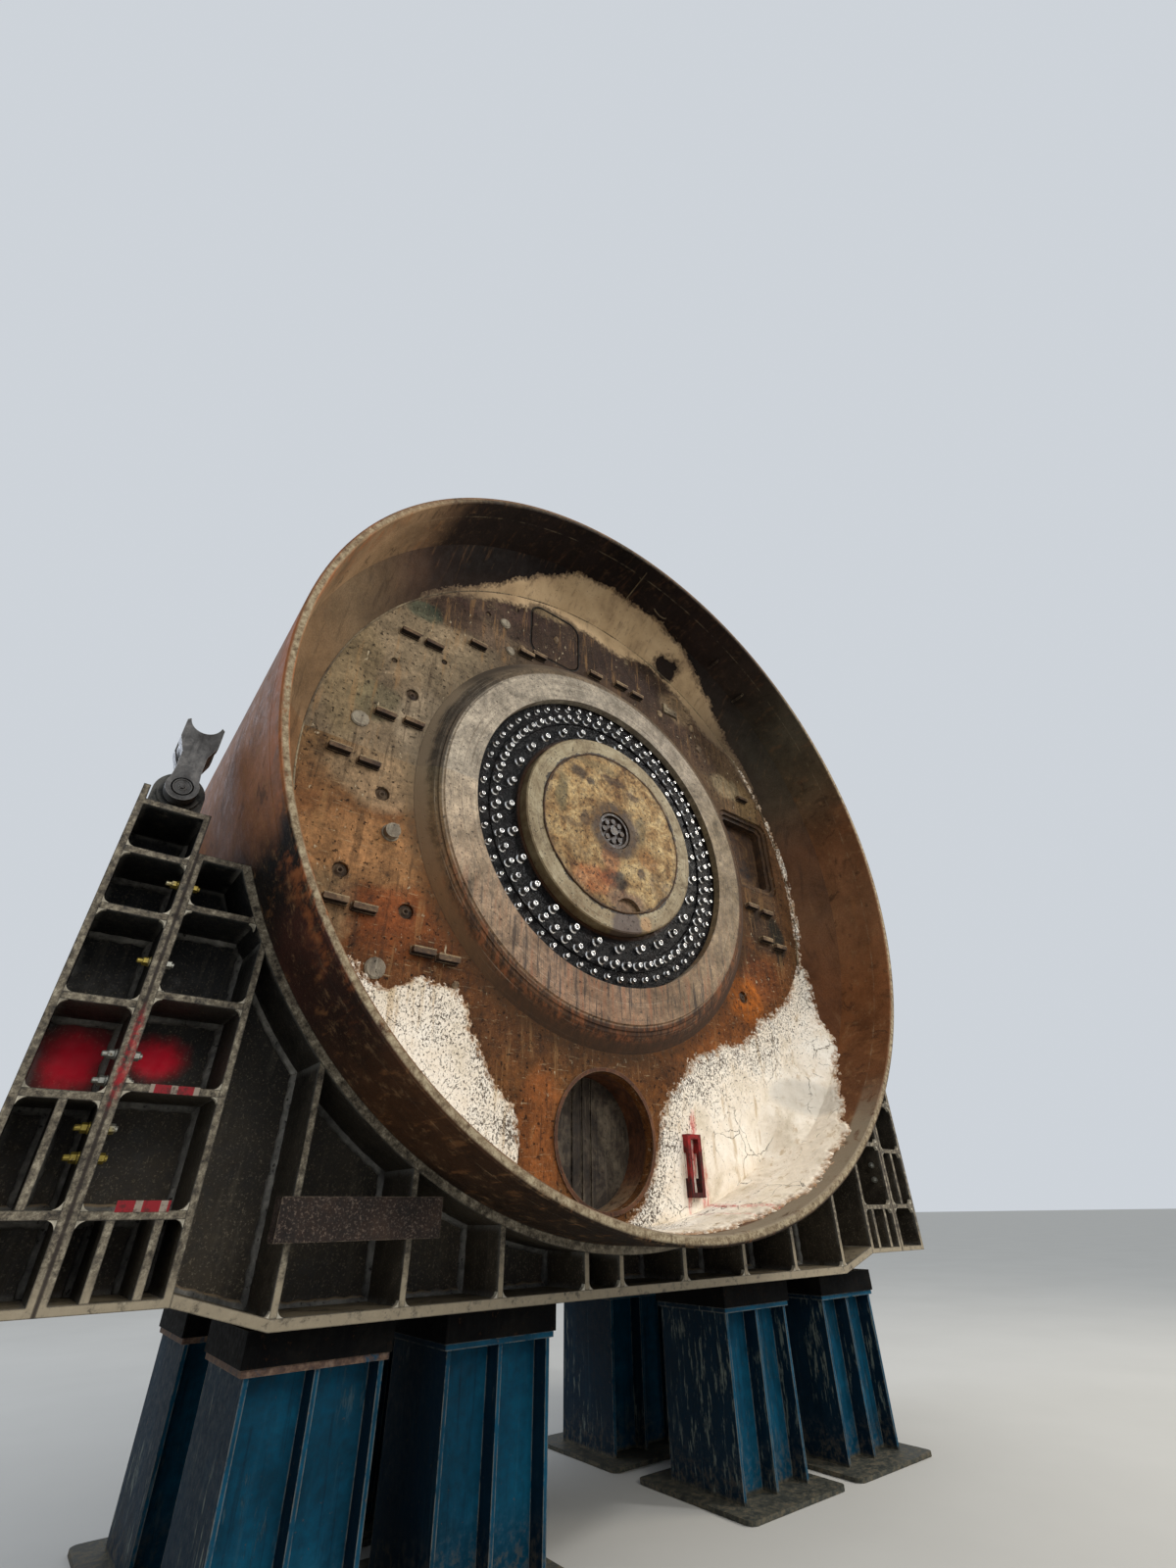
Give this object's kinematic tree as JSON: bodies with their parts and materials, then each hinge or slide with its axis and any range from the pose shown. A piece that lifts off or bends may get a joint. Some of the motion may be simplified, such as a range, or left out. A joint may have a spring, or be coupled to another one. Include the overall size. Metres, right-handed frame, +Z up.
{
  "type": "tunnel boring machine front shield with main drive",
  "caption": "Round steel front shield of a tunnelling machine, bare drive ring with studs in its bulkhead, held in a ribbed lifting cradle on steel stands.",
  "frame": {"origin": "on the floor under the middle of the shield", "axes": "+Y along the shield's axis to its rear, +X to the right seen from the front, +Z up"},
  "size_m": [7.21, 3.3, 7.8205],
  "materials": {
    "rusty_steel": "rusted, matt",
    "pale_steel": "machined, dusty",
    "greased_steel": "greased, glossy",
    "stud_steel": "bright, greased",
    "ochre_steel": "primed, stained",
    "grey_paint": "satin, worn",
    "black_paint": "satin, worn at edges",
    "blue_paint": "satin, dusty",
    "red_paint": "flaked",
    "shackle_grey": "galvanised look, worn",
    "packing_black": "oiled timber"
  },
  "bodies": {
    "shield_in_cradle": {"front_lip": "rusty_steel", "shield_skin": "rusty_steel", "rear_flange": "rusty_steel", "sloping_band": "rusty_steel", "bulkhead": "rusty_steel", "bulkhead_gussets": "rusty_steel", "seal_ring": "pale_steel", "drive_housing": "grey_paint", "gear_units": "grey_paint", "drive_motors": "grey_paint", "rear_union": "grey_paint", "hub_ring": "pale_steel", "hub_disc": "ochre_steel", "hub_nozzles": "greased_steel", "screw_lip": "rusty_steel", "screw_casing": "rusty_steel", "screw_gate": "greased_steel", "manlock_frame": "rusty_steel", "manlock_chamber": "grey_paint", "hatch_hinge": "rusty_steel", "wear_bars": "rusty_steel", "port_covers": "pale_steel", "red_bracket": "red_paint", "skin_lugs": "rusty_steel", "front_base": "black_paint", "front_base_ribs": "black_paint", "front_saddle": "black_paint", "front_inner_columns": "black_paint", "front_outer_columns": "black_paint", "rear_base": "black_paint", "rear_base_ribs": "black_paint", "rear_saddle": "black_paint", "rear_inner_columns": "black_paint", "rear_outer_columns": "black_paint", "front_shelves": "black_paint", "rear_shelves": "black_paint", "foot_ribs": "black_paint", "tie_beams": "black_paint", "cross_box": "black_paint", "lifting_lugs": "black_paint", "packing_slabs": "packing_black", "front_stands": "blue_paint", "rear_stands": "blue_paint"},
    "turning_ring": {"turning_ring": "greased_steel", "main_studs": "stud_steel", "outer_studs": "stud_steel", "inner_studs": "stud_steel"},
    "manlock_door": {"manlock_door": "rusty_steel"},
    "hatch_door": {"hatch_door": "rusty_steel"},
    "shackle_front_left": {"shackle_front_left": "shackle_grey", "pin_front_left": "shackle_grey"},
    "shackle_front_right": {"shackle_front_right": "shackle_grey", "pin_front_right": "shackle_grey"},
    "shackle_rear_left": {"shackle_rear_left": "shackle_grey", "pin_rear_left": "shackle_grey"},
    "shackle_rear_right": {"shackle_rear_right": "shackle_grey", "pin_rear_right": "shackle_grey"}
  },
  "joints": [
    {"name": "ring_spin", "type": "hinge", "parent": "shield_in_cradle", "child": "turning_ring", "pos_m": [0, -0.75, 4.6205], "axis": [0, 1, 0], "continuous": true},
    {"name": "hatch_swing", "type": "hinge", "parent": "shield_in_cradle", "child": "hatch_door", "pos_m": [-0.975, -0.626, 6.9105], "axis": [0, 0, 1], "range_deg": [0, 90]},
    {"name": "manlock_swing", "type": "hinge", "parent": "shield_in_cradle", "child": "manlock_door", "pos_m": [2.607, -0.514, 5.1305], "axis": [0, 0, -1], "range_deg": [0, 85]},
    {"name": "shackle_swing_front_left", "type": "hinge", "parent": "shield_in_cradle", "child": "shackle_front_left", "pos_m": [-3.4155, -0.5, 3.9005], "axis": [0, -1, 0], "range_deg": [-4, 75]},
    {"name": "shackle_swing_front_right", "type": "hinge", "parent": "shield_in_cradle", "child": "shackle_front_right", "pos_m": [3.4155, -0.5, 3.9005], "axis": [0, 1, 0], "range_deg": [-4, 75]},
    {"name": "shackle_swing_rear_left", "type": "hinge", "parent": "shield_in_cradle", "child": "shackle_rear_left", "pos_m": [-3.4155, 0.8, 3.9005], "axis": [0, -1, 0], "range_deg": [-4, 75]},
    {"name": "shackle_swing_rear_right", "type": "hinge", "parent": "shield_in_cradle", "child": "shackle_rear_right", "pos_m": [3.4155, 0.8, 3.9005], "axis": [0, 1, 0], "range_deg": [-4, 75]}
  ]
}
